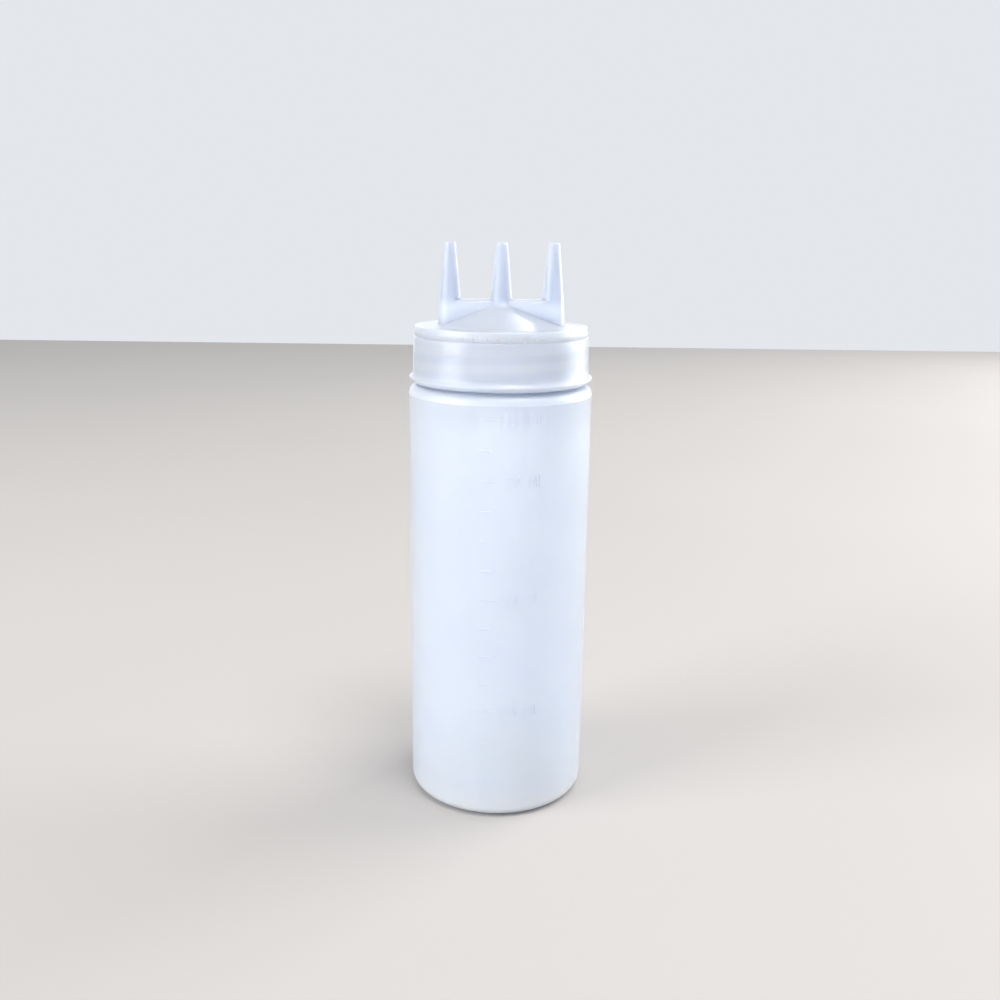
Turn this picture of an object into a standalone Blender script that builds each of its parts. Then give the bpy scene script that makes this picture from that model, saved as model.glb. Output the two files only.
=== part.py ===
"""Squeeze bottle for sauces with a screw-on cap that carries three nozzles in a row.

The bottle stands on z = 0 with its axis on Z, and the nozzles stand in line along X. Lengths
below are in millimetres and become metres where the meshes are made.

Pieces: bottle (blow-moulded, with a threaded neck), nozzle_cap (moulded in one piece) and
sealing_ring (flat gasket between the neck's land and the cap's ceiling).
The cap's thread is a right-hand one, so the cap unscrews anticlockwise seen from above and rises
by THREAD_LEAD a turn, and the sealing ring rises with it.
"""

import math

import bmesh
import bpy

MM = 0.001
TURN_STEPS = 64
NOZZLE_SIDES = 24
MERGE = 0.00001

# Bottle
BODY_R = 30.0
WALL = 1.3
BASE_CORNER_R = 3.5
STAND_RING_INNER_R = 22.5
PUNT_RISE = 2.5
SHOULDER_Z = 142.5
SHOULDER_R = 3.3
NECK_R = 25.8
NECK_BORE_R = 24.6
NECK_FILLET = 0.5
LAND_Z = 158.5
LAND_CHAMFER = 0.3

# Screw thread, shared by the neck and the cap
THREAD_LEAD = 5.0
THREAD_START_Z = 146.5
NECK_THREAD_TURNS = (0.0, 1.8)
NECK_CREST_R = 26.8
NECK_THREAD_HALF = (1.5, 0.8)
CAP_THREAD_TURNS = (-0.55, 1.35)
CAP_TIP_R = 26.2
CAP_THREAD_HALF = (1.4, 0.7)
THREAD_FADE_TURNS = 0.09
THREAD_SINK = 0.3

# Cap
CAP_Z = 143.0
LIP_R = 30.0
LIP_Z = 144.5
SKIRT_LOW_R = 28.75
SKIRT_LOW_Z = 146.2
SKIRT_HIGH_R = 28.4
STEP_Z = 157.9
RIM_R = 28.0
RIM_Z = 161.2
PLATE_Z = 160.9
CEILING_Z = 159.8
SKIRT_BORE_LOW_R = 27.5
SKIRT_BORE_HIGH_R = 27.1
DOME_R = 20.0
DOME_WALL = 1.3
DOME_HOLLOW_Z = 165.6

# Hollow bar that joins the nozzles
NOZZLE_PITCH = 16.6
BAR_TOP_Z = 169.4
BAR_LOW_Z = 160.0
BAR_HALF = (3.8, 3.65)
BAR_WALL = 1.3

# Nozzles
NOZZLE_TIP_Z = 187.3
NOZZLE_FOOT_Z = 168.8
NOZZLE_FOOT_R = 3.6
NOZZLE_TIP_R = 1.83
BORE_FOOT_R = 2.2
BORE_TIP_R = 0.8
BORE_PAST = 0.5

# Sealing ring
RING_GAP = 0.3
RING_THICKNESS = 0.7
RING_OUTER_R = 26.6
RING_BORE_R = 23.9


def clear_scene():
    for thing in list(bpy.data.objects):
        bpy.data.objects.remove(thing, do_unlink=True)


def collection(name):
    made = bpy.data.collections.new(name)
    bpy.context.scene.collection.children.link(made)
    return made


def plastic(name, colour, roughness):
    material = bpy.data.materials.new(name)
    material.use_nodes = True
    shader = material.node_tree.nodes["Principled BSDF"]
    shader.inputs["Base Color"].default_value = (*colour, 1.0)
    shader.inputs["Roughness"].default_value = roughness
    shader.inputs["Metallic"].default_value = 0.0
    return material


def arc(centre_r, centre_z, radius, start_deg, end_deg, steps=5):
    """Points (r, z) on an arc, its angles measured from +r towards +z."""
    angles = (start_deg + (end_deg - start_deg) * i / (steps - 1) for i in range(steps))
    return [
        (
            centre_r + radius * math.cos(math.radians(a)),
            centre_z + radius * math.sin(math.radians(a)),
        )
        for a in angles
    ]


def mesh_object(name, group):
    thing = bpy.data.objects.new(name, bpy.data.meshes.new(name))
    group.objects.link(thing)
    return thing


def fill_mesh(thing, built):
    built.to_mesh(thing.data)
    built.free()


def turned(name, group, profile):
    """A solid of revolution about Z from (r, z) points that run down its outer side."""
    thing = mesh_object(name, group)
    built = bmesh.new()
    points = [built.verts.new((r * MM, 0.0, z * MM)) for r, z in profile]
    for first, second in zip(points, points[1:]):
        built.edges.new((first, second))
    if profile[0][0] > 0:
        built.edges.new((points[-1], points[0]))
    fill_mesh(thing, built)
    screw = thing.modifiers.new("turn", "SCREW")
    screw.axis = "Z"
    screw.angle = math.tau
    screw.steps = TURN_STEPS
    screw.render_steps = TURN_STEPS
    screw.use_merge_vertices = True
    screw.merge_threshold = MERGE
    return thing


def helical_ridge(name, group, turns, foot_r, tip_r, half_widths, start_z):
    """A thread's ridge: a trapezium carried up a right-hand helix, sinking away at each end.

    foot_r lies inside the wall that it joins, and tip_r is its crest, inside or outside that
    wall. half_widths are half its height along Z at the foot and at the tip.
    """
    first, last = turns
    count = round((last - first) * TURN_STEPS)
    built = bmesh.new()
    rings = []
    for step in range(count + 1):
        turn = first + (last - first) * step / count
        rise = min(1.0, min(turn - first, last - turn) / THREAD_FADE_TURNS)
        edge_r = foot_r + (tip_r - foot_r) * (0.1 + 0.9 * rise)
        middle_z = start_z + THREAD_LEAD * turn
        foot, tip = half_widths
        corners = [(foot_r, -foot), (edge_r, -tip), (edge_r, tip), (foot_r, foot)]
        along = (math.cos(math.tau * turn), math.sin(math.tau * turn))
        rings.append(
            [
                built.verts.new((r * along[0] * MM, r * along[1] * MM, (middle_z + z) * MM))
                for r, z in corners
            ]
        )
    for low, high in zip(rings, rings[1:]):
        for i in range(4):
            j = (i + 1) % 4
            built.faces.new((low[i], low[j], high[j], high[i]))
    built.faces.new(rings[0])
    built.faces.new(rings[-1])
    bmesh.ops.recalc_face_normals(built, faces=built.faces)
    thing = mesh_object(name, group)
    fill_mesh(thing, built)
    return thing


def stadium(name, group, low_z, high_z, low_half, high_half):
    """A bar with round ends about the outer nozzles' axes, drafted from low_half to high_half."""
    built = bmesh.new()
    for z, half in ((low_z, low_half), (high_z, high_half)):
        for x in (-NOZZLE_PITCH, NOZZLE_PITCH):
            ring = bmesh.ops.create_circle(built, segments=NOZZLE_SIDES, radius=half * MM)
            bmesh.ops.translate(built, verts=ring["verts"], vec=(x * MM, 0.0, z * MM))
    hull = bmesh.ops.convex_hull(built, input=built.verts)
    spare = set(hull["geom_interior"]) | set(hull["geom_unused"])
    spare_points = [part for part in spare if isinstance(part, bmesh.types.BMVert)]
    bmesh.ops.delete(built, geom=spare_points, context="VERTS")
    bmesh.ops.dissolve_limit(
        built, angle_limit=math.radians(0.5), verts=built.verts, edges=built.edges
    )
    bmesh.ops.recalc_face_normals(built, faces=built.faces)
    thing = mesh_object(name, group)
    fill_mesh(thing, built)
    return thing


def cone(name, group, x, low_z, high_z, low_r, high_r):
    built = bmesh.new()
    bmesh.ops.create_cone(
        built,
        cap_ends=True,
        segments=NOZZLE_SIDES,
        radius1=low_r * MM,
        radius2=high_r * MM,
        depth=(high_z - low_z) * MM,
    )
    middle = (x * MM, 0.0, (low_z + high_z) / 2 * MM)
    bmesh.ops.translate(built, verts=built.verts, vec=middle)
    thing = mesh_object(name, group)
    fill_mesh(thing, built)
    return thing


def combine(thing, operation, tool):
    """Adds a Boolean to thing, and hides the tool from the model."""
    tool.hide_render = True
    tool.display_type = "WIRE"
    boolean = thing.modifiers.new(tool.name, "BOOLEAN")
    boolean.operation = operation
    boolean.solver = "EXACT"
    boolean.object = tool


def finish(thing, material):
    thing.data.materials.append(material)
    thing.data.shade_smooth()
    thing.data.set_sharp_from_angle(angle=math.radians(30))


def punt_height(r):
    """Height of the base's push-up over the stand, a shallow spherical cap."""
    sphere_r = (STAND_RING_INNER_R**2 + PUNT_RISE**2) / (2 * PUNT_RISE)
    return PUNT_RISE - sphere_r + math.sqrt(sphere_r**2 - r**2)


def make_bottle(parts, tools):
    """Straight-walled bottle: rounded base with a push-up, rounded shoulder, threaded neck."""
    corner_at = BODY_R - BASE_CORNER_R
    shoulder_at = (BODY_R - SHOULDER_R, SHOULDER_Z - SHOULDER_R)
    inner_shoulder_z = SHOULDER_Z - WALL
    punt_radii = [STAND_RING_INNER_R * share for share in (0.0, 0.35, 0.7, 1.0)]
    inside = [(r, punt_height(r) + WALL) for r in punt_radii]
    inside += arc(corner_at, BASE_CORNER_R, BASE_CORNER_R - WALL, -90, 0)
    inside += arc(*shoulder_at, SHOULDER_R - WALL, 0, 90)
    inside += [(NECK_BORE_R + 0.8, inner_shoulder_z), (NECK_BORE_R, inner_shoulder_z + 0.8)]
    inside += [(NECK_BORE_R, LAND_Z - LAND_CHAMFER), (NECK_BORE_R + LAND_CHAMFER, LAND_Z)]
    outside = [(NECK_R - LAND_CHAMFER, LAND_Z), (NECK_R, LAND_Z - LAND_CHAMFER)]
    outside += [(NECK_R, SHOULDER_Z + NECK_FILLET), (NECK_R + NECK_FILLET, SHOULDER_Z)]
    outside += arc(*shoulder_at, SHOULDER_R, 90, 0)
    outside += arc(corner_at, BASE_CORNER_R, BASE_CORNER_R, 0, -90)
    outside += [(r, punt_height(r)) for r in reversed(punt_radii)]
    bottle = turned("bottle", parts, inside + outside)
    thread = helical_ridge(
        "neck_thread",
        tools,
        NECK_THREAD_TURNS,
        NECK_R - THREAD_SINK,
        NECK_CREST_R,
        NECK_THREAD_HALF,
        THREAD_START_Z,
    )
    combine(bottle, "UNION", thread)
    finish(bottle, plastic("ldpe_bottle", (0.80, 0.86, 0.93), 0.4))


def dome_outline():
    """The cap's top from the middle nozzle's foot to the plate."""
    return [(3.8, 168.9), (4.6, 167.5), (6.2, 166.6), (12.5, 163.95), (19.0, 161.3)]


def cap_outside():
    """The cap as if it were solid, from the axis over the dome, rim, skirt and lip to z = CAP_Z."""
    outline = [(0.0, 168.9), *dome_outline(), (DOME_R, PLATE_Z), (26.2, PLATE_Z)]
    outline += [(26.4, RIM_Z - 0.05), (RIM_R - 0.3, RIM_Z), (RIM_R, RIM_Z - 0.3)]
    outline += [(RIM_R, STEP_Z + 0.3), (SKIRT_HIGH_R, STEP_Z)]
    outline += [(SKIRT_LOW_R, SKIRT_LOW_Z), (29.2, 145.6), (LIP_R - 0.1, 145.0)]
    outline += [(LIP_R, LIP_Z), (29.6, 143.7), (28.9, 143.2), (28.4, CAP_Z), (0.0, CAP_Z)]
    return outline


def cap_inside():
    """What the mould's core leaves empty: under the dome, under the plate and inside the skirt."""
    below_z = CAP_Z - 1.0
    outline = [(0.0, DOME_HOLLOW_Z)]
    outline += [(r, z - DOME_WALL) for r, z in dome_outline()[2:4]]
    outline += [(DOME_R - 1.0, CEILING_Z), (26.8, CEILING_Z)]
    outline += [(SKIRT_BORE_HIGH_R, CEILING_Z - 0.5), (SKIRT_BORE_LOW_R, CAP_Z + 0.4)]
    outline += [(SKIRT_BORE_LOW_R + 1.4, below_z), (0.0, below_z)]
    return outline


def make_cap(parts, tools):
    """Screw cap moulded in one piece with its dome, the hollow bar and three tapered nozzles."""
    cap = turned("nozzle_cap", parts, cap_outside())
    bar = stadium("bar", tools, BAR_LOW_Z, BAR_TOP_Z, *BAR_HALF)
    combine(cap, "UNION", bar)
    places = (("left", -NOZZLE_PITCH), ("middle", 0.0), ("right", NOZZLE_PITCH))
    for side, x in places:
        size = (NOZZLE_FOOT_Z, NOZZLE_TIP_Z, NOZZLE_FOOT_R, NOZZLE_TIP_R)
        combine(cap, "UNION", cone(f"{side}_nozzle", tools, x, *size))
    combine(cap, "DIFFERENCE", turned("cap_hollow", tools, cap_inside()))
    hollow_halves = [half - BAR_WALL for half in BAR_HALF]
    hollow_z = (CEILING_Z - 2.0, BAR_TOP_Z - BAR_WALL)
    combine(cap, "DIFFERENCE", stadium("bar_hollow", tools, *hollow_z, *hollow_halves))
    bore_z = (BAR_TOP_Z - BAR_WALL - BORE_PAST, NOZZLE_TIP_Z + BORE_PAST)
    for side, x in places:
        bore = cone(f"{side}_bore", tools, x, *bore_z, BORE_FOOT_R, BORE_TIP_R)
        combine(cap, "DIFFERENCE", bore)
    thread = helical_ridge(
        "cap_thread",
        tools,
        CAP_THREAD_TURNS,
        SKIRT_BORE_LOW_R + THREAD_SINK,
        CAP_TIP_R,
        CAP_THREAD_HALF,
        THREAD_START_Z + THREAD_LEAD / 2,
    )
    combine(cap, "UNION", thread)
    finish(cap, plastic("ldpe_cap", (0.83, 0.88, 0.93), 0.35))


def make_sealing_ring(parts):
    """Flat gasket held in the cap over the neck's land."""
    low_z = LAND_Z + RING_GAP
    high_z = low_z + RING_THICKNESS
    outline = [(RING_BORE_R, high_z), (RING_OUTER_R, high_z)]
    outline += [(RING_OUTER_R, low_z), (RING_BORE_R, low_z)]
    ring = turned("sealing_ring", parts, outline)
    finish(ring, plastic("silicone_gasket", (0.85, 0.87, 0.88), 0.6))


def main():
    clear_scene()
    parts = collection("three_nozzle_squeeze_bottle")
    tools = collection("cutters")
    make_bottle(parts, tools)
    make_cap(parts, tools)
    make_sealing_ring(parts)


main()
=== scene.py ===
# %% [markdown]
# # A squeeze bottle for sauces, with three nozzles on its cap
# This lesson builds the visible surface of a soft plastic sauce bottle around a ready-made
# engineering model. That model, the frame, says where each piece is, how big it is and how the cap
# screws off. We add what a frame has no need of: moulded edges, a knurled band, raised volume
# marks, screw threads with soft flanks, and milky plastic that lets light through.
# All lengths in the frame are in metres, so a constant turns millimetres into them.

# %% Load the frame
import math
import bmesh
import bpy
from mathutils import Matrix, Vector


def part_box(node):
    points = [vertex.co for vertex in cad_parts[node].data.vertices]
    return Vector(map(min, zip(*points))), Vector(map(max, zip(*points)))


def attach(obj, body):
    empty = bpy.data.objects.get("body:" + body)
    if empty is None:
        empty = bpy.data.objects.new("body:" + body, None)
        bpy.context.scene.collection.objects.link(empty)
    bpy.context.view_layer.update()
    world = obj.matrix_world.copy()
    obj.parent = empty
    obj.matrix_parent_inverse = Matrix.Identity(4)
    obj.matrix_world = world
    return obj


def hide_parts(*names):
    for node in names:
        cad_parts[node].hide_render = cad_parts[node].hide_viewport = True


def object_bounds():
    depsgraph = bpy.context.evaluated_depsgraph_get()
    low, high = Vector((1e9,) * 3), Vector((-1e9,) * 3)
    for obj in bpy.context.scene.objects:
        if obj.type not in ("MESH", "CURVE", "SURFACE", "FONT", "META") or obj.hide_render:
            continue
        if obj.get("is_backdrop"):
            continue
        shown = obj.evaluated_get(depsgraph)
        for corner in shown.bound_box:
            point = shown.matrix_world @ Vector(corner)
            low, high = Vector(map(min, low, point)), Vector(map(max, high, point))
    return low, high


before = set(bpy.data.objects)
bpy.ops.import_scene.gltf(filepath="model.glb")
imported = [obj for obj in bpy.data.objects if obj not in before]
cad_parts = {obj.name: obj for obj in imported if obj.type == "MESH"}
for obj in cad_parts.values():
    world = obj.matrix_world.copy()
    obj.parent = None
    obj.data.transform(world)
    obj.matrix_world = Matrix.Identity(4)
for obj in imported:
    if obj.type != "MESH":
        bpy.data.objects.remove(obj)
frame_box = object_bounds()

MM = 0.001
bottle_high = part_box("bottle")[1]
cap_low, cap_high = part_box("nozzle_cap")
ring_low, ring_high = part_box("sealing_ring")
BODY_R = bottle_high.x
LAND_Z = bottle_high.z
CAP_Z = cap_low.z
TIP_Z = cap_high.z
print("bottle", [round(v / MM, 2) for v in bottle_high], "cap top", round(TIP_Z / MM, 2))

# %% [markdown]
# ## Working in edit mode from a script
# An operator acts on whatever is selected, so each step starts by selecting exactly what it needs.
# `only` picks one object, `pick` picks points, edges or faces by testing where their points are,
# which is what the mouse does by eye, and `pick_edges` looks at both ends of an edge at once.

# %% Selecting helpers
def only(thing):
    """Leaves edit mode and selects this object and nothing else."""
    if bpy.context.mode != "OBJECT":
        bpy.ops.object.mode_set(mode="OBJECT")
    bpy.ops.object.select_all(action="DESELECT")
    thing.select_set(True)
    bpy.context.view_layer.objects.active = thing


def edit(thing):
    """Opens this object in edit mode with nothing selected."""
    only(thing)
    bpy.ops.object.mode_set(mode="EDIT")
    bpy.ops.mesh.select_all(action="DESELECT")


def pick(thing, kind, test):
    """Selects the VERT, EDGE or FACE parts whose points all pass the test."""
    bpy.ops.mesh.select_mode(type=kind)
    bpy.ops.mesh.select_all(action="DESELECT")
    mesh = bmesh.from_edit_mesh(thing.data)
    for part in {"VERT": mesh.verts, "EDGE": mesh.edges, "FACE": mesh.faces}[kind]:
        points = [part] if kind == "VERT" else part.verts
        part.select_set(all(test(point.co) for point in points))
    bmesh.update_edit_mesh(thing.data)


def pick_edges(thing, test):
    """Selects the edges whose two end points pass the test together."""
    bpy.ops.mesh.select_mode(type="EDGE")
    bpy.ops.mesh.select_all(action="DESELECT")
    mesh = bmesh.from_edit_mesh(thing.data)
    for edge in mesh.edges:
        edge.select_set(test(*(point.co for point in edge.verts)))
    bmesh.update_edit_mesh(thing.data)


def radius(point):
    """A point's distance from the bottle's axis."""
    return math.hypot(point.x, point.y)


def near(value, target, within=0.01 * MM):
    """Whether two lengths agree to a hundredth of a millimetre."""
    return abs(value - target) < within


# %% [markdown]
# ## The camera
# The bottle was seen from a little above, by a lens of normal length about 34 cm away, with the
# camera turned by less than one degree, so the bottle leans slightly in the picture.

# %% Camera
CAMERA_DISTANCE = 0.337
CAMERA_HEIGHT = 0.18923
CAMERA_PITCH = math.radians(14.442)
CAMERA_ROLL = math.radians(0.71)
CAMERA_YAW = math.radians(-0.053)
FOCAL_SHARE = 1.02505

camera_data = bpy.data.cameras.new("camera")
camera_data.sensor_width = 36.0
camera_data.lens = camera_data.sensor_width * FOCAL_SHARE
camera_data.clip_start = 0.01
camera = bpy.data.objects.new("camera", camera_data)
bpy.context.scene.collection.objects.link(camera)
camera.rotation_mode = "QUATERNION"
turn = Matrix.Rotation(CAMERA_YAW, 4, "Z")
turn = turn @ Matrix.Rotation(math.pi / 2 - CAMERA_PITCH, 4, "X")
turn = turn @ Matrix.Rotation(CAMERA_ROLL, 4, "Z")
camera.rotation_quaternion = turn.to_quaternion()
camera.location = (0, -CAMERA_DISTANCE, CAMERA_HEIGHT)
bpy.context.scene.camera = camera
print("lens", round(camera_data.lens, 2), "mm")

# %% [markdown]
# ## Colours and nodes
# Colours are written as the hex values that a paint chip or a web page gives. Cycles mixes light
# in linear values, so one function converts them. A second small function adds a shader node and
# plugs in its inputs, and every material uses it.

# %% Colour and node helpers
def colour(hex_text):
    """Linear RGBA from an sRGB hex value such as #E8F0FA."""
    channels = (int(hex_text[i : i + 2], 16) / 255 for i in (1, 3, 5))
    linear = (c / 12.92 if c <= 0.04045 else ((c + 0.055) / 1.055) ** 2.4 for c in channels)
    return (*linear, 1.0)


def add(tree, kind, inputs=None, **settings):
    """Adds a node with its settings. An input is a value, or an output socket to link."""
    node = tree.nodes.new(kind)
    for name, value in settings.items():
        setattr(node, name, value)
    for name, value in (inputs or {}).items():
        if isinstance(value, bpy.types.NodeSocket):
            tree.links.new(value, node.inputs[name])
        else:
            node.inputs[name].default_value = value
    return node


def new_material(name):
    """An empty material with its output node, and its node tree."""
    material = bpy.data.materials.new(name)
    material.use_nodes = True
    material.node_tree.nodes.clear()
    return material, material.node_tree


# %% [markdown]
# ## The thread's shadow in the cap
# The cap's wall is thicker where its inner thread runs, so a little less light comes through and
# the thread shows outside as faint slanting bands. The shader's light paths are too blurred to
# draw them, so the tint does: a point's height and its angle round the axis say how far it is from
# the helix, and maths nodes turn that distance into a soft-edged band.

# %% Thread shadow
THREAD_LEAD = 5.0
THREAD_START = 146.5
BAND_EDGES = (0.34, 0.12)
BAND_LOW_END = (144.8, 147.0)
BAND_HIGH_END = (157.6, 155.8)


def thread_shadow(tree, place):
    """1 along the helix where the thread makes the wall thicker, and 0 between its turns."""
    axes = add(tree, "ShaderNodeSeparateXYZ", {"Vector": place}).outputs
    angle = add(tree, "ShaderNodeMath", {0: axes["Y"], 1: axes["X"]}, operation="ARCTAN2")
    turn = add(tree, "ShaderNodeMath", {0: angle.outputs[0], 1: math.tau}, operation="DIVIDE")
    start = THREAD_START + THREAD_LEAD / 2
    rise = {"Value": axes["Z"], "From Min": start * MM, "From Max": (start + THREAD_LEAD) * MM}
    climb = add(tree, "ShaderNodeMapRange", rise, clamp=False)
    along = {0: climb.outputs["Result"], 1: turn.outputs[0]}
    phase = add(tree, "ShaderNodeMath", along, operation="SUBTRACT")
    saw = add(tree, "ShaderNodeMath", {0: phase.outputs[0], 1: 0.5}, operation="PINGPONG")
    soft_edges = {"Value": saw.outputs[0], "From Min": BAND_EDGES[0], "From Max": BAND_EDGES[1]}
    ridge = add(tree, "ShaderNodeMapRange", soft_edges, interpolation_type="SMOOTHSTEP")
    strength = ridge.outputs["Result"]
    for outer, inner in (BAND_LOW_END, BAND_HIGH_END):
        end = {"Value": axes["Z"], "From Min": outer * MM, "From Max": inner * MM}
        fade = add(tree, "ShaderNodeMapRange", end, interpolation_type="SMOOTHSTEP")
        both = {0: strength, 1: fade.outputs["Result"]}
        strength = add(tree, "ShaderNodeMath", both, operation="MULTIPLY").outputs[0]
    return strength


# %% [markdown]
# ## Milky polyethylene
# Squeeze bottles are low-density polyethylene without pigment. Thin walls of it look milky: part
# of the light scatters inside and comes back bluish white, and part goes through, blurred. The
# shader mixes the two in one Principled node: Subsurface for the scattering, over a few
# millimetres, and rough Transmission for what passes. Polyethylene's IOR is 1.51.
# The mould leaves a satin grain, and the plastic tube that is blown into a bottle carries faint
# upright die lines. Both are drawn a little coarser than life, to show at all. A tint that changes
# with height is painted light and shade: it stands for the light that a wall growing thicker or
# thinner sends back or lets through.

# %% Satin polyethylene
CLOUD_MM = 22.0
DIE_LINE_MM = 1.8
SCATTER_MM = 4.0
GRAIN_DEPTH = 0.05
GRAIN_SHARE = 0.35


def satin_polyethylene(
    name, hexes, grain_mm, streak, roughness, transmission, light_and_shade_by_height, thread=None
):
    """Translucent satin plastic: mottled colour, mould grain and, where blown, upright streaks.

    light_and_shade_by_height is (from, to, colour): the tint turns to that colour between those
    heights in mm. It is painted light and shade, for the wall growing thicker or thinner there.
    """
    material, tree = new_material(name)
    place = add(tree, "ShaderNodeTexCoord").outputs["Object"]
    cloud = add(
        tree,
        "ShaderNodeTexNoise",
        {"Vector": place, "Scale": 1 / (CLOUD_MM * MM), "Detail": 2.0},
    )
    low, high = (colour(h) for h in hexes)
    tint = add(
        tree,
        "ShaderNodeMix",
        {"Factor": cloud.outputs["Fac"], "A": low, "B": high},
        data_type="RGBA",
    )
    axes = add(tree, "ShaderNodeSeparateXYZ", {"Vector": place}).outputs
    # Painted light and shade: the tint turns paler or greyer with height.
    start, end, end_colour = light_and_shade_by_height
    span = {"Value": axes["Z"], "From Min": start * MM, "From Max": end * MM}
    reach = add(tree, "ShaderNodeMapRange", span, interpolation_type="SMOOTHSTEP")
    ends = {"Factor": reach.outputs["Result"], "A": tint.outputs["Result"], "B": colour(end_colour)}
    tint = add(tree, "ShaderNodeMix", ends, data_type="RGBA")
    if thread:
        shadow = thread_shadow(tree, place)
        shown = {"Factor": shadow, "A": tint.outputs["Result"], "B": colour(thread)}
        tint = add(tree, "ShaderNodeMix", shown, data_type="RGBA")
    grain = add(
        tree,
        "ShaderNodeTexNoise",
        {"Vector": place, "Scale": 1 / (grain_mm * MM), "Detail": 3.0, "Roughness": 0.6},
    )
    stretched = add(tree, "ShaderNodeMapping", {"Vector": place, "Scale": (1.0, 1.0, streak)})
    lines = add(
        tree,
        "ShaderNodeTexNoise",
        {"Vector": stretched.outputs["Vector"], "Scale": 1 / (DIE_LINE_MM * MM), "Detail": 2.0},
    )
    height = add(
        tree,
        "ShaderNodeMath",
        {0: grain.outputs["Fac"], 1: GRAIN_SHARE, 2: lines.outputs["Fac"]},
        operation="MULTIPLY_ADD",
    )
    bump = add(
        tree,
        "ShaderNodeBump",
        {"Height": height.outputs["Value"], "Strength": 0.25, "Distance": GRAIN_DEPTH * MM},
    )
    rough = add(
        tree,
        "ShaderNodeMapRange",
        {"Value": cloud.outputs["Fac"], "To Min": roughness - 0.03, "To Max": roughness + 0.05},
    )
    shader = add(
        tree,
        "ShaderNodeBsdfPrincipled",
        {
            "Base Color": tint.outputs["Result"],
            "Roughness": rough.outputs["Result"],
            "Normal": bump.outputs["Normal"],
            "IOR": 1.51,
            "Transmission Weight": transmission,
            "Subsurface Weight": 1.0,
            "Subsurface Radius": (1.0, 1.05, 1.15),
            "Subsurface Scale": SCATTER_MM * MM,
        },
    )
    add(tree, "ShaderNodeOutputMaterial", {"Surface": shader.outputs["BSDF"]})
    return material


# %% The three polyethylenes
# Blow-moulded: the eye gets a bluish milky wall with upright streaks. Towards the base it is
# painted paler, for the light that the floor and the thicker wall there send back.
blown_plastic = satin_polyethylene(
    "blow_moulded_ldpe",
    hexes=("#DCE6FD", "#E6F0FF"),
    grain_mm=0.45,
    streak=0.06,
    roughness=0.32,
    transmission=0.5,
    light_and_shade_by_height=(12.0, 1.0, "#ECF3FF"),
)

# Injection-moulded: an evener, slightly glossier skin. The nozzles are painted greyer, as shade,
# since their thin wall lets more light through and sends less back. The cap also carries the
# thread's painted shadow.
moulded_plastic = satin_polyethylene(
    "injection_moulded_ldpe",
    hexes=("#E0E8FA", "#E8EFFE"),
    grain_mm=0.35,
    streak=0.6,
    roughness=0.3,
    transmission=0.6,
    light_and_shade_by_height=(166.5, 170.5, "#CDD5E5"),
    thread="#DCE5F6",
)

# Raised marks: a lit copy of the blown plastic, painted whiter so that the marks show as light
# strokes, as their edges catch the light. They stand thicker than the wall.
lit_mark_plastic = satin_polyethylene(
    "lit_raised_mark_ldpe",
    hexes=("#F9FBFF", "#FEFEFF"),
    grain_mm=0.45,
    streak=0.06,
    roughness=0.3,
    transmission=0.5,
    light_and_shade_by_height=(12.0, 1.0, "#F6F9FF"),
)
print("plastics:", blown_plastic.name, moulded_plastic.name, lit_mark_plastic.name)

# %% [markdown]
# ## Silicone gasket
# The gasket is die-cut from clear silicone sheet, which is matt, slightly yellow and soft. It lets
# less light through than the polyethylene does, so it is a cloudy, pale ring.

# %% Silicone
SHEET_CLOUD_MM = 6.0
SHEET_GRAIN_MM = 0.3
SHEET_GRAIN_DEPTH = 0.03
SHEET_SCATTER_MM = 1.5


def die_cut_silicone():
    """Clear silicone sheet: slightly cloudy, with a fine grain on its surface."""
    material, tree = new_material("die_cut_silicone")
    place = add(tree, "ShaderNodeTexCoord").outputs["Object"]
    cloud = add(tree, "ShaderNodeTexNoise", {"Vector": place, "Scale": 1 / (SHEET_CLOUD_MM * MM)})
    shades = {"Factor": cloud.outputs["Fac"], "A": colour("#E4E6E4"), "B": colour("#EDEEEA")}
    tint = add(tree, "ShaderNodeMix", shades, data_type="RGBA")
    grain = add(tree, "ShaderNodeTexNoise", {"Vector": place, "Scale": 1 / (SHEET_GRAIN_MM * MM)})
    bump = add(
        tree,
        "ShaderNodeBump",
        {"Height": grain.outputs["Fac"], "Strength": 0.3, "Distance": SHEET_GRAIN_DEPTH * MM},
    )
    shader = add(
        tree,
        "ShaderNodeBsdfPrincipled",
        {
            "Base Color": tint.outputs["Result"],
            "Roughness": 0.55,
            "Normal": bump.outputs["Normal"],
            "IOR": 1.41,
            "Transmission Weight": 0.25,
            "Subsurface Weight": 0.8,
            "Subsurface Scale": SHEET_SCATTER_MM * MM,
        },
    )
    add(tree, "ShaderNodeOutputMaterial", {"Surface": shader.outputs["BSDF"]})
    return material


silicone = die_cut_silicone()

# %% [markdown]
# ## Turned surfaces by hand
# A bottle is a stack of circles. We add one circle, then extrude it and scale it, ring by ring,
# just as one does with E and S in edit mode. Spin would also do it, but rings keep the count of
# points on each level in our hands, which the threads and the knurling need.

# %% Ring by ring
def ring_stack(name, rings, columns):
    """An open turned surface through (radius, height) rings, both in mm."""
    if bpy.context.mode != "OBJECT":
        bpy.ops.object.mode_set(mode="OBJECT")
    bpy.ops.object.select_all(action="DESELECT")
    first_r, first_z = rings[0]
    bpy.ops.mesh.primitive_circle_add(
        vertices=columns, radius=first_r * MM, location=(0, 0, first_z * MM)
    )
    thing = bpy.context.object
    thing.name = name
    thing.data.name = name
    bpy.ops.object.transform_apply(location=True)
    bpy.ops.object.mode_set(mode="EDIT")
    bpy.ops.mesh.select_mode(type="EDGE")
    bpy.ops.mesh.select_all(action="SELECT")
    grow_rings(rings)
    return thing


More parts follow.
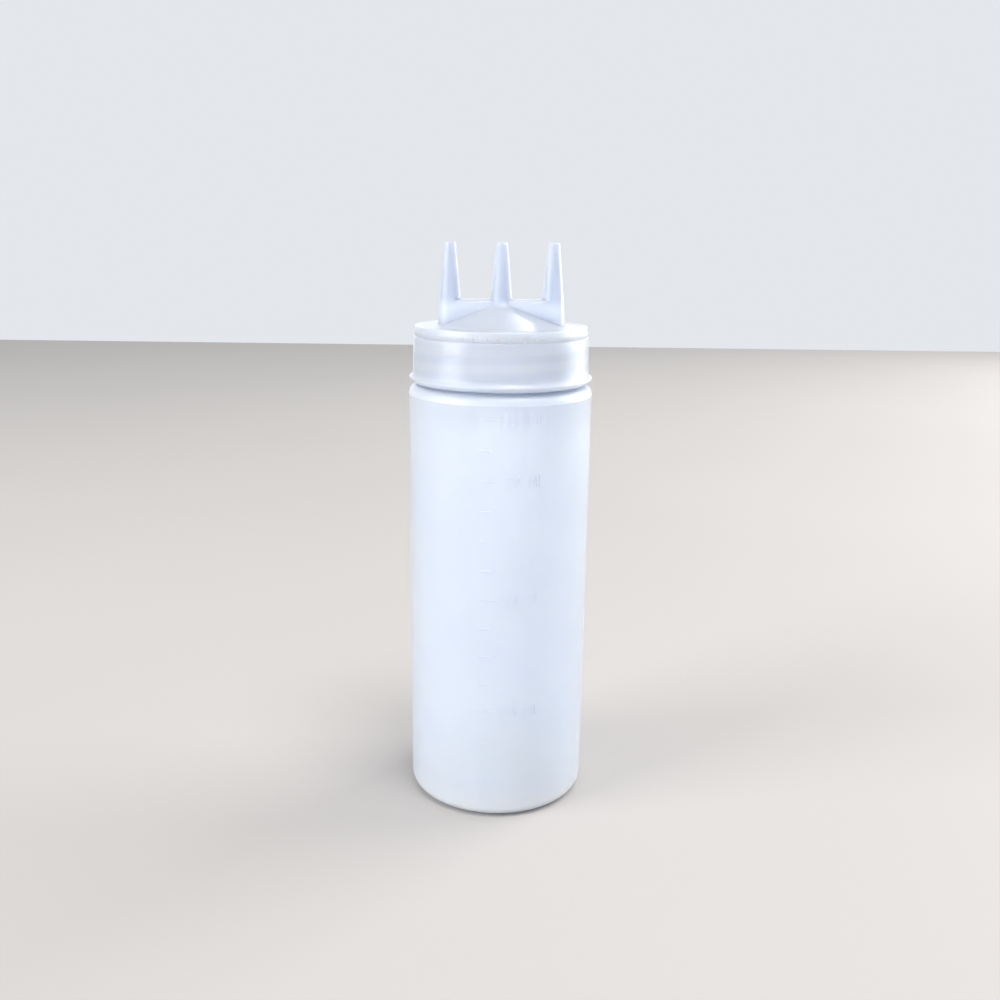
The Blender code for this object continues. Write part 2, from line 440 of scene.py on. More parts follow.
def grow_rings(rings):
    """Extrudes the selected ring, which is at rings[0], through the others."""
    for (old_r, old_z), (new_r, new_z) in zip(rings, rings[1:]):
        rise = (0, 0, (new_z - old_z) * MM)
        bpy.ops.mesh.extrude_region_move(TRANSFORM_OT_translate={"value": rise})
        share = new_r / old_r
        bpy.ops.transform.resize(value=(share, share, 1), center_override=(0, 0, new_z * MM))


def round_ring(thing, ring_r, ring_z, size, segments):
    """Bevels the ring of edges at this radius and height into an arc."""
    pick(thing, "EDGE", lambda p: near(radius(p), ring_r * MM) and near(p.z, ring_z * MM))
    bpy.ops.mesh.bevel(offset=size * MM, segments=segments, affect="EDGES")


def add_rows(thing, low, high, cuts):
    """Splits the edges that run from height low to height high, both in mm."""
    pick_edges(
        thing,
        lambda a, b: near(min(a.z, b.z), low * MM) and near(max(a.z, b.z), high * MM),
    )
    bpy.ops.mesh.subdivide(number_cuts=cuts)


# %% [markdown]
# ## The bottle's outside
# The body is straight, with a rounded base and shoulder, because a blown wall thins at a sharp
# corner. The base is pushed up in the middle so that it stands on a ring and doesn't rock. Where
# the shoulder meets the straight wall, the mould leaves a bead a tenth of a millimetre high, which
# catches the light as a thin line.

# %% Bottle outside
BOTTLE_COLUMNS = 192
STAND_R = 22.5
PUNT_RISE = 2.5
BASE_ROUND = 3.5
SHOULDER_Z = 142.5
SHOULDER_ROUND = 3.3
NECK_R = 25.8
NECK_ROOT_ROUND = 0.6
THREAD_ROWS = 47
BEAD_HALF = 0.28
BEAD_RISE = 0.1
body_r = BODY_R / MM
land_z = LAND_Z / MM

bottle = ring_stack(
    "moulded_bottle",
    [(STAND_R, 0), (body_r, 0), (body_r, SHOULDER_Z), (NECK_R, SHOULDER_Z), (NECK_R, land_z)],
    BOTTLE_COLUMNS,
)
round_ring(bottle, body_r, 0, BASE_ROUND, 8)
round_ring(bottle, body_r, SHOULDER_Z, SHOULDER_ROUND, 8)
round_ring(bottle, NECK_R, SHOULDER_Z, NECK_ROOT_ROUND, 3)
add_rows(bottle, BASE_ROUND, SHOULDER_Z - SHOULDER_ROUND, 13)
bead_z = SHOULDER_Z - SHOULDER_ROUND
for cut_z in (bead_z - BEAD_HALF, bead_z + BEAD_HALF):
    bpy.ops.mesh.select_all(action="SELECT")
    bpy.ops.mesh.bisect(plane_co=(0, 0, cut_z * MM), plane_no=(0, 0, 1))
pick(bottle, "VERT", lambda p: near(p.z, bead_z * MM))
bead_share = 1 + BEAD_RISE / body_r
bpy.ops.transform.resize(value=(bead_share, bead_share, 1), center_override=(0, 0, bead_z * MM))
add_rows(bottle, SHOULDER_Z + NECK_ROOT_ROUND, land_z, THREAD_ROWS)

sphere_r = (STAND_R**2 + PUNT_RISE**2) / (2 * PUNT_RISE)
punt_shares = (1.0, 0.985, 0.96, 0.88, 0.75, 0.6, 0.45, 0.3, 0.15, 0.05)
punt_radii = [STAND_R * share for share in punt_shares]
punt = [(r, PUNT_RISE - sphere_r + math.sqrt(sphere_r**2 - r**2)) for r in punt_radii]
pick(bottle, "EDGE", lambda p: near(radius(p), STAND_R * MM) and near(p.z, 0))
grow_rings(punt)
bpy.ops.mesh.merge(type="CENTER")
bpy.ops.mesh.select_all(action="SELECT")
bpy.ops.mesh.normals_make_consistent(inside=False)
only(bottle)
print("bottle outside:", len(bottle.data.polygons), "faces")

# %% [markdown]
# ## Wall and mouth
# Solidify gives the skin its 1.3 mm wall, measured inwards, and closes it round the mouth. The
# mouth's two edges are then rounded, as the blow pin leaves them.

# %% Bottle wall
WALL = 1.3
MOUTH_ROUND = 0.3


def apply_modifier(thing, kind, **settings):
    """Adds a modifier with its settings and applies it."""
    only(thing)
    modifier = thing.modifiers.new(kind.lower(), kind)
    for name, value in settings.items():
        setattr(modifier, name, value)
    bpy.ops.object.modifier_apply(modifier=modifier.name)


apply_modifier(bottle, "SOLIDIFY", thickness=WALL * MM, offset=-1.0, use_even_offset=True)
edit(bottle)
for mouth_r in (NECK_R, NECK_R - WALL):
    round_ring(bottle, mouth_r, land_z, MOUTH_ROUND, 3)
only(bottle)
print("bottle with wall:", len(bottle.data.polygons), "faces")

# %% [markdown]
# ## The screw threads
# A thread is a ridge that climbs as it goes round. Its distance from a point on the wall depends
# only on the point's height and angle, so rather than sweep a ridge and join it on, we push out
# the wall's own points. The wall stays one clean skin, and the flanks come out soft, as moulded
# ones are. The same function later draws the thread on the core that hollows the cap.

# %% Thread
THREAD_FADE = 0.09


def smooth(share):
    """Eases a share in and out, and keeps it between 0 and 1."""
    share = min(1.0, max(0.0, share))
    return share * share * (3 - 2 * share)


def thread_rise(point, start, turns, half_foot, half_tip):
    """How far up the ridge a point is, from 0 on the wall to 1 on the crest."""
    angle = math.atan2(point.y, point.x) / math.tau % 1.0
    first, last = turns
    rise = 0.0
    for whole in range(-1, 3):
        turn_at = angle + whole
        gap = abs(point.z / MM - start - THREAD_LEAD * turn_at)
        flank = (half_foot - gap) / (half_foot - half_tip)
        fade = min(turn_at - first, last - turn_at) / THREAD_FADE
        rise = max(rise, smooth(flank) * smooth(fade))
    return rise


def push_out(thing, where, amount):
    """Moves the points that pass a test away from the axis by amount(point) mm."""
    for vertex in thing.data.vertices:
        if where(vertex.co):
            share = 1 + amount(vertex.co) * MM / radius(vertex.co)
            vertex.co.x *= share
            vertex.co.y *= share


NECK_CREST = 1.0
NECK_TURNS = (0.0, 1.8)
NECK_HALF_FOOT = 1.35
NECK_HALF_TIP = 0.8
push_out(
    bottle,
    lambda p: near(radius(p), NECK_R * MM) and p.z > (SHOULDER_Z + NECK_ROOT_ROUND) * MM,
    lambda p: NECK_CREST
    * thread_rise(p, THREAD_START, NECK_TURNS, NECK_HALF_FOOT, NECK_HALF_TIP),
)
neck_radii = [radius(v.co) for v in bottle.data.vertices if v.co.z > (SHOULDER_Z + 1) * MM]
print("thread crest at", round(max(neck_radii) / MM, 2), "mm from the axis")

# %% [markdown]
# ## The parting line and the pinch-off
# A blow mould is two halves that close on a tube of hot plastic. They leave a fine upright line on
# each side of the bottle, and where they pinch the tube shut, a short weld across the base. Two
# bisecting cuts beside the middle plane give that line its width. Its points then move out by a
# tenth of a millimetre, and the weld's points down by a third of one.

# %% Parting line
PARTING_HALF = 0.18
PARTING_RISE = 0.1
WELD_HALF_LENGTH = 17.0
WELD_DROP = 0.35
WELD_REACH = 0.3

edit(bottle)
for side in (-PARTING_HALF, PARTING_HALF):
    bpy.ops.mesh.select_all(action="SELECT")
    bpy.ops.mesh.bisect(plane_co=(0, side * MM, 0), plane_no=(0, 1, 0))
only(bottle)
push_out(
    bottle,
    lambda p: near(p.y, 0) and radius(p) > (NECK_R - 0.1) * MM,
    lambda p: PARTING_RISE,
)
weld_top = (PUNT_RISE + WELD_REACH) * MM
for vertex in bottle.data.vertices:
    point = vertex.co
    on_weld = near(point.y, 0) and abs(point.x) < WELD_HALF_LENGTH * MM
    if on_weld and point.z < weld_top:
        point.z -= WELD_DROP * MM
print("parting line at x =", round(max(v.co.x for v in bottle.data.vertices) / MM, 2))

# %% [markdown]
# ## Raised volume marks
# The scale is cut into the mould, so it stands a fifth of a millimetre proud of the wall: a bar
# for every 25 ml, a longer one with a figure for some of them. We model a short and a long bar,
# copy them up the scale, and write the figures with Blender's own font. Everything is made flat,
# in front of the bottle, and then wrapped round it. The bars are cut into short lengths, so that
# they can follow the curve.

# %% Marks, flat
MARK_PROUD = 0.2
MARK_SINK = 0.4
MARK_MIDDLE_Y = (MARK_SINK - MARK_PROUD) / 2
MARK_ROUND = 0.12
MARK_LEFT = -6.05
MARK_TOP_ML = 350
MARK_TOP_Z = 135.1
MARK_STEP_ML = 25
MARK_STEP_Z = 9.66
MARK_HEIGHT = 0.55
SHORT_MARK = 3.5
LONG_MARK = 5.9
LOWEST_ML = 75
BAR_PARTS = 8
FIGURES = (350, 300, 200, 100)
FIGURES_FROM_TO = (1.2, 7.0)
UNIT_FROM_TO = (9.4, 14.6)
FIGURE_HEIGHT = 3.7


def mark_z(volume):
    """The height of a volume's mark."""
    return MARK_TOP_Z - (MARK_TOP_ML - volume) / MARK_STEP_ML * MARK_STEP_Z


def flat_bar(length):
    """A bar with soft ends at height 0, in front of the bottle, its back sunk in the wall."""
    bpy.ops.object.select_all(action="DESELECT")
    middle = ((MARK_LEFT + length / 2) * MM, MARK_MIDDLE_Y * MM, 0)
    bpy.ops.mesh.primitive_cube_add(size=1, location=middle)
    bar = bpy.context.object
    bar.name = "mark_bar"
    bar.scale = (length * MM, (MARK_PROUD + MARK_SINK) * MM, MARK_HEIGHT * MM)
    bpy.ops.object.transform_apply(location=True, scale=True)
    edit(bar)
    front = min(v.co.y for v in bar.data.vertices)
    pick(bar, "EDGE", lambda p: near(p.y, front))
    bpy.ops.mesh.bevel(offset=MARK_ROUND * MM, segments=2, affect="EDGES")
    for cut in range(1, BAR_PARTS):
        bpy.ops.mesh.select_all(action="SELECT")
        cut_x = (MARK_LEFT + length * cut / BAR_PARTS) * MM
        bpy.ops.mesh.bisect(plane_co=(cut_x, 0, 0), plane_no=(1, 0, 0))
    only(bar)
    return bar


def copy_of(bar, volume):
    """A copy of a bar, with its own mesh, at this volume's height."""
    only(bar)
    bpy.ops.object.duplicate(linked=False)
    copy = bpy.context.object
    copy.name = f"mark_{volume}"
    copy.location.z = mark_z(volume) * MM
    bpy.ops.object.transform_apply(location=True)
    return copy


def flat_text(words, from_to, volume):
    """Raised letters made a mesh, facing -Y, fitted between two X places at their bar's height."""
    bpy.ops.object.select_all(action="DESELECT")
    bpy.ops.object.text_add(rotation=(math.pi / 2, 0, 0))
    letters = bpy.context.object
    letters.name = f"mark_{volume}_{words}"
    letters.data.body = words
    letters.data.size = FIGURE_HEIGHT * MM
    letters.data.extrude = (MARK_PROUD + MARK_SINK) / 2 * MM
    letters.data.resolution_u = 3
    bpy.ops.object.convert(target="MESH")
    bpy.ops.object.transform_apply(rotation=True)
    low = [min(v.co[axis] for v in letters.data.vertices) for axis in range(3)]
    high = [max(v.co[axis] for v in letters.data.vertices) for axis in range(3)]
    left, right = from_to
    wide = (right - left) * MM / (high[0] - low[0])
    tall = FIGURE_HEIGHT * MM / (high[2] - low[2])
    foot_z = mark_z(volume) - FIGURE_HEIGHT / 2
    letters.scale = (wide, 1, tall)
    letters.location.x = left * MM - low[0] * wide
    letters.location.y = MARK_MIDDLE_Y * MM
    letters.location.z = foot_z * MM - low[2] * tall
    bpy.ops.object.transform_apply(location=True, scale=True)
    edit(letters)
    bpy.ops.mesh.select_all(action="SELECT")
    bpy.ops.mesh.remove_doubles(threshold=0.001 * MM)
    bpy.ops.mesh.normals_make_consistent(inside=False)
    only(letters)
    return letters


short_bar = flat_bar(SHORT_MARK)
long_bar = flat_bar(LONG_MARK)
marks = []
for volume in range(MARK_TOP_ML, LOWEST_ML - 1, -MARK_STEP_ML):
    marks.append(copy_of(long_bar if volume in FIGURES else short_bar, volume))
for bar in (short_bar, long_bar):
    bpy.data.objects.remove(bar, do_unlink=True)
for volume in FIGURES:
    marks.append(flat_text(str(volume), FIGURES_FROM_TO, volume))
    marks.append(flat_text("ML", UNIT_FROM_TO, volume))
print(len(marks), "marks")

# %% [markdown]
# Wrapping turns a point's distance along X into an angle round the bottle, and its distance from
# the flat sheet into a distance from the wall. The marks then join the wall as one skin.

# %% Wrap and join the marks
def wrap(thing):
    """Bends a flat mark round the bottle's wall."""
    for vertex in thing.data.vertices:
        angle = vertex.co.x / (body_r * MM)
        reach = body_r * MM - vertex.co.y
        vertex.co.x = reach * math.sin(angle)
        vertex.co.y = -reach * math.cos(angle)


def boolean(thing, operation, tools):
    """Applies one exact Boolean for each tool, and removes the tools."""
    for tool in tools:
        apply_modifier(thing, "BOOLEAN", operation=operation, solver="EXACT", object=tool)
    for tool in tools:
        bpy.data.objects.remove(tool, do_unlink=True)


for mark in marks:
    wrap(mark)
only(marks[0])
for mark in marks[1:]:
    mark.select_set(True)
bpy.ops.object.join()
raised_scale = bpy.context.object
raised_scale.data.materials.append(lit_mark_plastic)
bottle.data.materials.append(blown_plastic)
boolean(bottle, "UNION", [raised_scale])
print("bottle with marks:", len(bottle.data.polygons), "faces")

# %% [markdown]
# ## The cap's outside
# The cap is moulded in one piece: a skirt with a lip to grip, a knurled band, a flat top with a low
# rim, and a dome that rises into the middle nozzle. The knurling needs four points for each of its
# 168 ribs, so the outside starts with 672 columns. From the flat top inwards a quarter of them is
# plenty, and a bridge on the flat joins the two.

# %% Cap outside
RIBS = 168
RIB_RISE = 0.15
RIB_LOW_Z = 158.0
RIB_HIGH_Z = 159.6
RIM_R = 28.0
PLATE_Z = 160.9
PLATE_EDGE_R = 26.3
NOZZLE_FOOT_Z = 169.4
NOZZLE_FOOT_R = 3.57
NOZZLE_TIP_R = 1.83
tip_z = TIP_Z / MM


def nozzle_r(z):
    """A nozzle's outside radius at this height, which tapers evenly from foot to tip."""
    share = (z - NOZZLE_FOOT_Z) / (tip_z - NOZZLE_FOOT_Z)
    return NOZZLE_FOOT_R + (NOZZLE_TIP_R - NOZZLE_FOOT_R) * share


def tip_rings():
    """From just above a nozzle's foot to its rounded end and the flat round its bore."""
    rings = [(nozzle_r(z), z) for z in (170.2, 174.0, 178.0, 182.0, 185.5, tip_z - 0.5)]
    end_r = nozzle_r(tip_z)
    return rings + [(end_r - 0.03, tip_z - 0.2), (end_r - 0.12, tip_z - 0.05), (end_r - 0.3, tip_z)]


lip = [(28.0, 143.0), (28.5, 143.08), (29.0, 143.35), (29.5, 143.8), (29.88, 144.25)]
lip += [(30.0, 144.6), (29.86, 144.95), (29.5, 145.2), (29.15, 145.5), (28.9, 145.95)]
skirt = [(28.77, 146.6), (28.65, 150.0), (28.53, 154.0), (28.42, 157.5), (28.36, 157.75)]
band = [(28.2, 157.86), (28.04, 157.92), (RIM_R, RIB_LOW_Z), (RIM_R, 158.12), (RIM_R, 158.6)]
band += [(RIM_R, 159.1), (RIM_R, 159.48), (RIM_R, RIB_HIGH_Z), (RIM_R, 160.75)]
rim = [(27.96, 160.97), (27.82, 161.13), (27.6, 161.2), (26.9, 161.2), (26.65, 161.13)]
rim += [(26.45, 160.97), (PLATE_EDGE_R, PLATE_Z)]

cap = ring_stack("moulded_nozzle_cap", lip + skirt + band + rim, 4 * RIBS)
dome = [(25.6, PLATE_Z), (20.9, PLATE_Z), (20.4, 160.94), (19.9, 161.04), (19.4, 161.2)]
dome += [(18.9, 161.38), (15.8, 162.62), (12.5, 163.95), (9.4, 165.25), (7.4, 166.08)]
dome += [(6.3, 166.58), (5.6, 166.95), (5.0, 167.4), (4.5, 167.95), (4.1, 168.6), (3.82, 169.2)]
dome += [(3.64, 169.7)] + tip_rings()
bpy.ops.mesh.select_all(action="DESELECT")
dome_r = dome[0][0]
bpy.ops.mesh.primitive_circle_add(
    vertices=RIBS, radius=dome_r * MM, location=(0, 0, PLATE_Z * MM)
)
grow_rings(dome)
bpy.ops.mesh.edge_face_add()
pick(cap, "EDGE", lambda p: near(p.z, PLATE_Z * MM) and radius(p) > (dome_r - 0.1) * MM)
bpy.ops.mesh.bridge_edge_loops()
pick(cap, "EDGE", lambda p: near(p.z, CAP_Z) and near(radius(p), lip[0][0] * MM))
bpy.ops.mesh.edge_face_add()
bpy.ops.mesh.select_all(action="SELECT")
bpy.ops.mesh.normals_make_consistent(inside=False)
only(cap)
print("cap outside:", len(cap.data.polygons), "faces")

# %% [markdown]
# The knurling is those columns moved out in pairs, by 0.15 mm. It is real geometry, because its
# ribs show against the light. Each rib slopes back to the band over a tenth of a millimetre at
# both ends.

# %% Knurled band
RIB_END = 0.05


def on_rib(point):
    """Whether a point of the band stands on a rib: two columns out of every four do."""
    column = round(math.atan2(point.y, point.x) / math.tau * 4 * RIBS)
    return column % 4 in (2, 3)


push_out(
    cap,
    lambda p: RIB_LOW_Z + RIB_END < p.z / MM < RIB_HIGH_Z - RIB_END
    and near(radius(p), RIM_R * MM),
    lambda p: RIB_RISE if on_rib(p) else 0.0,
)

# %% [markdown]
# ## The bar between the nozzles
# A hollow bar feeds all three nozzles. Seen from above it is three circles in a row, so that is how
# it starts: the facing halves of the circles are bridged to make its top, the outline is extruded
# down into the dome, and each circle is extruded up into a nozzle. The middle nozzle already grew
# out of the dome, so here its circle gets a low cover. The bar's long top edges are rounded by
# lowering the points near them along an arc, and the outer nozzles' feet flare a little inwards.

# %% Bar and outer nozzles
NOZZLE_PITCH = 16.6
BAR_HALF = 3.65
BAR_EDGE_ROUND = 1.3
BAR_FOOT_Z = 160.0
BAR_FOOT_GROWTH = 1.015
NOZZLE_SIDES = 48
BRIDGE_CUTS = 15
NOZZLE_X = (-NOZZLE_PITCH, 0.0, NOZZLE_PITCH)

bpy.ops.object.select_all(action="DESELECT")
bpy.ops.mesh.primitive_circle_add(
    vertices=NOZZLE_SIDES, radius=BAR_HALF * MM, location=(0, 0, NOZZLE_FOOT_Z * MM)
)
bar = bpy.context.object
bar.name = "nozzle_bar"
bpy.ops.object.transform_apply(location=True)
edit(bar)
for x in (NOZZLE_X[0], NOZZLE_X[2]):
    bpy.ops.mesh.primitive_circle_add(
        vertices=NOZZLE_SIDES, radius=BAR_HALF * MM, location=(x * MM, 0, NOZZLE_FOOT_Z * MM)
    )
for left_x, right_x in zip(NOZZLE_X, NOZZLE_X[1:]):
    pick(bar, "EDGE", lambda p: (left_x - 0.01) * MM < p.x < (right_x + 0.01) * MM)
    bpy.ops.mesh.bridge_edge_loops(number_cuts=BRIDGE_CUTS, interpolation="LINEAR")


def edge_drop(y):
    """How far the bar's top lies below its middle at this distance from the middle plane, in mm."""
    past = max(0.0, abs(y) - (BAR_HALF - BAR_EDGE_ROUND))
    return BAR_EDGE_ROUND - math.sqrt(max(0.0, BAR_EDGE_ROUND**2 - past**2))


only(bar)
for vertex in bar.data.vertices:
    vertex.co.z -= edge_drop(vertex.co.y / MM) * MM
print("bar top:", len(bar.data.polygons), "faces")

# %% Sides of the bar
edit(bar)
pick(bar, "EDGE", lambda p: near(abs(p.y), BAR_HALF * MM) or abs(p.x) > (NOZZLE_PITCH - 0.01) * MM)
mesh = bmesh.from_edit_mesh(bar.data)
for edge in mesh.edges:
    if edge.select and not (edge.is_boundary or edge.is_wire):
        edge.select_set(False)
bmesh.update_edit_mesh(bar.data)
bpy.ops.mesh.extrude_region_move(
    TRANSFORM_OT_translate={"value": (0, 0, (BAR_FOOT_Z - NOZZLE_FOOT_Z) * MM)}
)
growth = (BAR_FOOT_GROWTH, BAR_FOOT_GROWTH, 0)
bpy.ops.transform.resize(value=growth, center_override=(0, 0, BAR_FOOT_Z * MM))
bpy.ops.mesh.edge_face_add()
only(bar)
print("bar with sides:", len(bar.data.polygons), "faces")

# %% Outer nozzles
LIFT = 0.5
FOOT_RINGS = [(3.6, 169.55), (3.545, 169.85)]
COVER_SHARE = 0.8
COVER_Z = NOZZLE_FOOT_Z + 0.1
FOOT_FLARE = 1.08


def pick_foot(x):
    """Selects a nozzle's foot, the circle on top of the bar round this X place."""
    pick(
        bar,
        "EDGE",
        lambda p: p.z > (BAR_FOOT_Z + 1) * MM
        and near(math.hypot(p.x - x * MM, p.y), BAR_HALF * MM),
    )


def raise_ring(x, share, z):
    """Extrudes the selected ring upwards, scales it about this X place and flattens it at z."""
    bpy.ops.mesh.extrude_region_move(TRANSFORM_OT_translate={"value": (0, 0, LIFT * MM)})
    bpy.ops.transform.resize(value=(share, share, 0), center_override=(x * MM, 0, z * MM))


edit(bar)
for x in (NOZZLE_X[0], NOZZLE_X[2]):
    pick_foot(x)
    ring_r = BAR_HALF
    for r, z in FOOT_RINGS + tip_rings():
        raise_ring(x, r / ring_r, z)
        ring_r = r
    bpy.ops.mesh.edge_face_add()
pick_foot(0.0)
raise_ring(0.0, COVER_SHARE, COVER_Z)
bpy.ops.mesh.edge_face_add()

for x, side in ((NOZZLE_X[0], 1), (NOZZLE_X[2], -1)):
    pick(
        bar,
        "VERT",
        lambda p: (p.x - x * MM) * side > 0.01 * MM
        and BAR_FOOT_Z + 1 < p.z / MM < NOZZLE_FOOT_Z + 0.01
        and near(math.hypot(p.x - x * MM, p.y), BAR_HALF * MM),
    )
    bpy.ops.transform.resize(value=(FOOT_FLARE, 1, 1), center_override=(x * MM, 0, 0))
bpy.ops.mesh.select_all(action="SELECT")
bpy.ops.mesh.normals_make_consistent(inside=False)
only(bar)
print("bar and outer nozzles:", len(bar.data.polygons), "faces")

# %% [markdown]
# ## The cap's hollow
# In the mould, the inside of the cap is a steel core: a plug with the screw thread cut into it, a
# tongue for the bar and three tapered pins for the bores. We build that core as a solid and take it
# away from the outside, which is how the real space comes about.

# %% Core plug and its thread
SKIRT_BORE = 27.5
CEILING_Z = 159.8
CORE_LOW_Z = 143.4
CORE_HIGH_Z = 159.3
CAP_TURNS = (-0.55, 1.35)
CAP_THREAD_TIP_R = 26.2
CAP_THREAD_HALF_FOOT = 1.3
CAP_THREAD_HALF_TIP = 0.7

plug = [(29.0, 142.0), (SKIRT_BORE, CORE_LOW_Z), (27.1, CORE_HIGH_Z), (26.8, CEILING_Z)]
plug += [(19.0, CEILING_Z), (12.5, 162.6), (6.2, 165.3), (5.0, 165.6), (1.0, 165.6)]
core = ring_stack("cap_core", plug, BOTTLE_COLUMNS)
bpy.ops.mesh.merge(type="CENTER")
add_rows(core, CORE_LOW_Z, CORE_HIGH_Z, THREAD_ROWS)
pick(core, "EDGE", lambda p: near(p.z, plug[0][1] * MM))
bpy.ops.mesh.edge_face_add()
bpy.ops.mesh.select_all(action="SELECT")
bpy.ops.mesh.normals_make_consistent(inside=False)
only(core)
push_out(
    core,
    lambda p: CORE_LOW_Z + 0.1 < p.z / MM < CORE_HIGH_Z - 0.1,
    lambda p: (CAP_THREAD_TIP_R - radius(p) / MM)
    * thread_rise(
        p,
        THREAD_START + THREAD_LEAD / 2,
        CAP_TURNS,
        CAP_THREAD_HALF_FOOT,
        CAP_THREAD_HALF_TIP,
    ),
)
print("core plug:", len(core.data.polygons), "faces")

# %% Tongue and pins
BAR_WALL = 1.3
BORE_FOOT_R = 2.2
BORE_TIP_R = 0.8
TONGUE_OVERLAP = 2.0
TONGUE_TOP_ROUND = 0.5
PIN_OVERLAP = 0.5
PIN_SIDES = 40

tongue_half = BAR_HALF - BAR_WALL
tongue_low, tongue_high = CEILING_Z - TONGUE_OVERLAP, NOZZLE_FOOT_Z - BAR_WALL
bpy.ops.object.select_all(action="DESELECT")
bpy.ops.mesh.primitive_cube_add(size=1, location=(0, 0, (tongue_low + tongue_high) / 2 * MM))
tongue = bpy.context.object
tongue.scale = (
    2 * (NOZZLE_PITCH + tongue_half) * MM,
    2 * tongue_half * MM,
    (tongue_high - tongue_low) * MM,
)
bpy.ops.object.transform_apply(location=True, scale=True)
edit(tongue)
pick_edges(tongue, lambda a, b: near(a.x, b.x) and near(a.y, b.y))
bpy.ops.mesh.bevel(offset=(tongue_half - 0.05) * MM, segments=8, affect="EDGES")
pick(tongue, "EDGE", lambda p: near(p.z, tongue_high * MM))
bpy.ops.mesh.bevel(offset=TONGUE_TOP_ROUND * MM, segments=3, affect="EDGES")
only(tongue)

pins = []
pin_low, pin_high = tongue_high - PIN_OVERLAP, tip_z + PIN_OVERLAP
for x in NOZZLE_X:
    bpy.ops.object.select_all(action="DESELECT")
    bpy.ops.mesh.primitive_cone_add(
        vertices=PIN_SIDES,
        radius1=BORE_FOOT_R * MM,
        radius2=BORE_TIP_R * MM,
        depth=(pin_high - pin_low) * MM,
        location=(x * MM, 0, (pin_low + pin_high) / 2 * MM),
    )
    pins.append(bpy.context.object)
print("core tongue and", len(pins), "pins")

# %% Join and hollow the cap
boolean(cap, "UNION", [bar])
boolean(core, "UNION", [tongue, *pins])
boolean(cap, "DIFFERENCE", [core])
print("cap:", len(cap.data.polygons), "faces")

# %% [markdown]
# ## The gasket
# A flat ring sits under the cap's ceiling and closes on the neck. Four rings of points make its
# section, a bridge closes it, and a small bevel takes off the corners.

# %% Gasket
RING_COLUMNS = 128
RING_EDGE_ROUND = 0.12
RING_BORE_R = 23.9
ring_r = ring_high.x / MM
ring_bottom, ring_top = ring_low.z / MM, ring_high.z / MM
gasket = ring_stack(
    "flat_gasket",
    [
        (RING_BORE_R, ring_bottom),
        (ring_r, ring_bottom),
        (ring_r, ring_top),
        (RING_BORE_R, ring_top),
    ],
    RING_COLUMNS,
)
pick(gasket, "EDGE", lambda p: near(radius(p), RING_BORE_R * MM))
bpy.ops.mesh.bridge_edge_loops()
bpy.ops.mesh.select_all(action="SELECT")
bpy.ops.mesh.normals_make_consistent(inside=False)
pick_edges(gasket, lambda a, b: near(a.z, b.z) and near(radius(a), radius(b)))
bpy.ops.mesh.bevel(offset=RING_EDGE_ROUND * MM, segments=2, affect="EDGES")
only(gasket)
print("gasket:", len(gasket.data.polygons), "faces")

# %% [markdown]
# ## Smooth shading
# Smoothing by angle keeps an edge sharp where two faces meet at more than 35 degrees. Each piece
# then takes its material and its place on a moving body.
# The bottle already has two: its own and the raised marks'.

# %% Finish the pieces
SHARP_ANGLE = math.radians(35)
for piece, node, body, slot_name, material in (
    (bottle, "bottle", "bottle", "bottle_plastic", blown_plastic),
    (cap, "nozzle_cap", "cap", "cap_plastic", moulded_plastic),
    (gasket, "sealing_ring", "seal", "gasket", silicone),
):
    only(piece)
    bpy.ops.object.shade_smooth_by_angle(angle=SHARP_ANGLE)
    if not piece.data.materials:
        piece.data.materials.append(material)
    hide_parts(node)
    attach(piece, body)
    triangles = sum(len(face.vertices) - 2 for face in piece.data.polygons)
    print(piece.name, "triangles:", triangles)

# %% [markdown]
# ## Floor and light
# A wide, pale, matt floor and a pale surround give the milky plastic something to show through it.
# One large soft light on the left draws the broad highlight down that side, one on the right keeps
# the far edge bright, and one from above lights the dome and the shoulder. Milky plastic looks
# dull unless light also reaches it from low in front and from behind. Two weaker lights do that,
# and light linking keeps them off the floor. A last, small one only draws the glint on the dome.

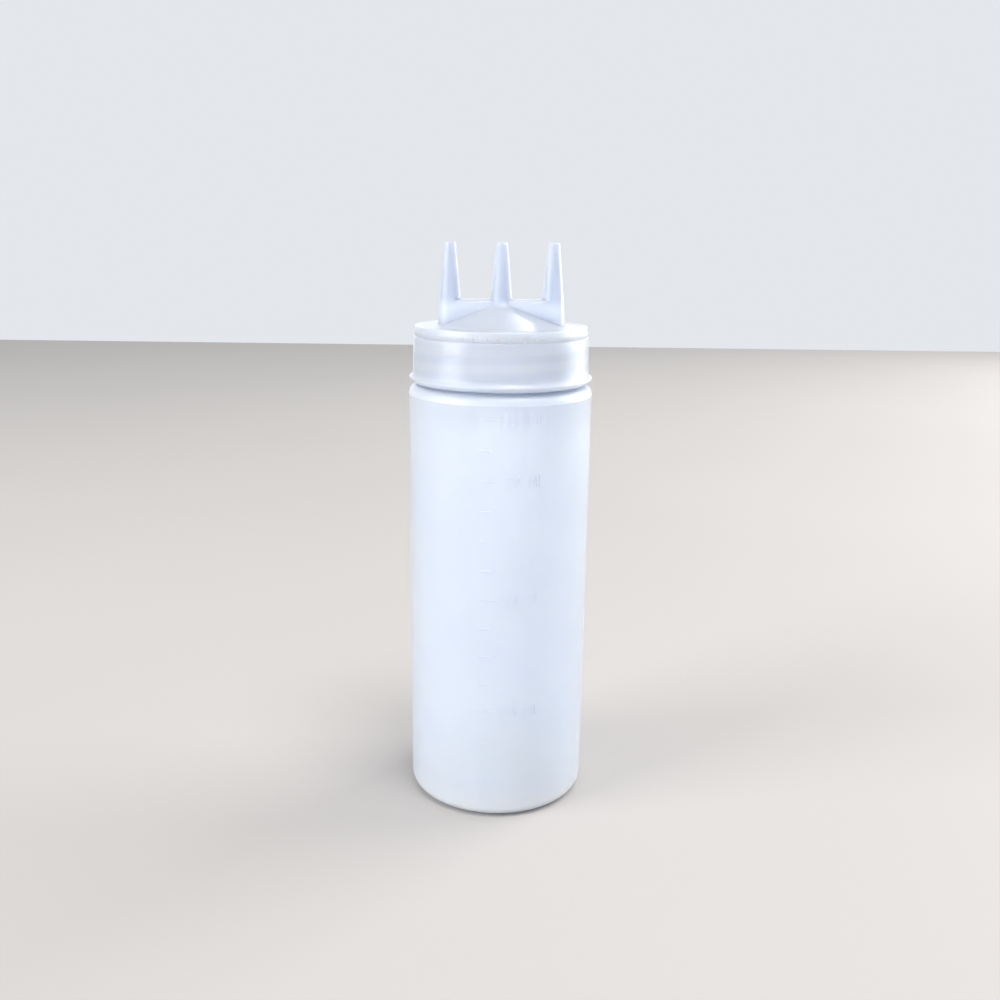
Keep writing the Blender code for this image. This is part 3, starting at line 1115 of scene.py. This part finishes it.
# %% Floor
bpy.ops.object.select_all(action="DESELECT")
bpy.ops.mesh.primitive_plane_add(size=6.0, location=(0, -1.5, -0.0002))
floor = bpy.context.object
floor.name = "pale_floor"
floor_material, floor_tree = new_material("matt_painted_board")
floor_place = add(floor_tree, "ShaderNodeTexCoord").outputs["Object"]
floor_cloud = add(floor_tree, "ShaderNodeTexNoise", {"Vector": floor_place, "Scale": 3.0})
floor_low, floor_high = colour("#A8A4A0"), colour("#ADA9A5")
floor_shades = {"Factor": floor_cloud.outputs["Fac"], "A": floor_low, "B": floor_high}
floor_tint = add(floor_tree, "ShaderNodeMix", floor_shades, data_type="RGBA")
floor_shader = add(
    floor_tree,
    "ShaderNodeBsdfPrincipled",
    {"Base Color": floor_tint.outputs["Result"], "Roughness": 0.8},
)
add(floor_tree, "ShaderNodeOutputMaterial", {"Surface": floor_shader.outputs["BSDF"]})
floor.data.materials.append(floor_material)
floor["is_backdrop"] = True

# %% Lights
lit_pieces = bpy.data.collections.new("lit_pieces")
for piece in (bottle, cap, gasket):
    lit_pieces.objects.link(piece)


def soft_light(name, place, size, power, only_pieces=False):
    """A rectangular light at this place that faces the middle of the bottle."""
    data = bpy.data.lights.new(name, "AREA")
    data.shape = "RECTANGLE"
    data.size, data.size_y = size
    data.energy = power
    light = bpy.data.objects.new(name, data)
    bpy.context.scene.collection.objects.link(light)
    light.location = place
    aim = Vector((0, 0, tip_z * MM / 2)) - light.location
    light.rotation_euler = aim.to_track_quat("-Z", "Y").to_euler()
    light.visible_camera = False
    if only_pieces:
        light.light_linking.receiver_collection = lit_pieces
    return light


soft_light("window_left", (-1.5, -0.7, 0.6), (0.9, 1.7), 33)
soft_light("fill_right", (1.4, 0.7, 0.6), (1.3, 1.5), 36)
soft_light("top", (0.25, -0.35, 1.3), (0.5, 0.5), 9)
soft_light("low_front", (0.1, -0.6, 0.06), (1.2, 0.1), 2.4, only_pieces=True)
soft_light("glow_behind", (-0.1, 1.3, 0.25), (1.2, 0.9), 3, only_pieces=True)
dome_glint = soft_light("dome_glint", (0.21, 0.98, 0.9), (0.2, 0.2), 1.2, only_pieces=True)
dome_glint.visible_diffuse = False
dome_glint.visible_transmission = False

world = bpy.data.worlds.new("pale_surround")
bpy.context.scene.world = world
world.use_nodes = True
background = world.node_tree.nodes["Background"]
background.inputs["Color"].default_value = colour("#E4E7EC")
background.inputs["Strength"].default_value = 1.0
bpy.context.scene.view_settings.view_transform = "Standard"

# %% Size and finish
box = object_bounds()
for label, corners in (("frame", frame_box), ("visual", box)):
    print(label, [round((high - low) / MM, 2) for low, high in zip(*corners)], "mm")
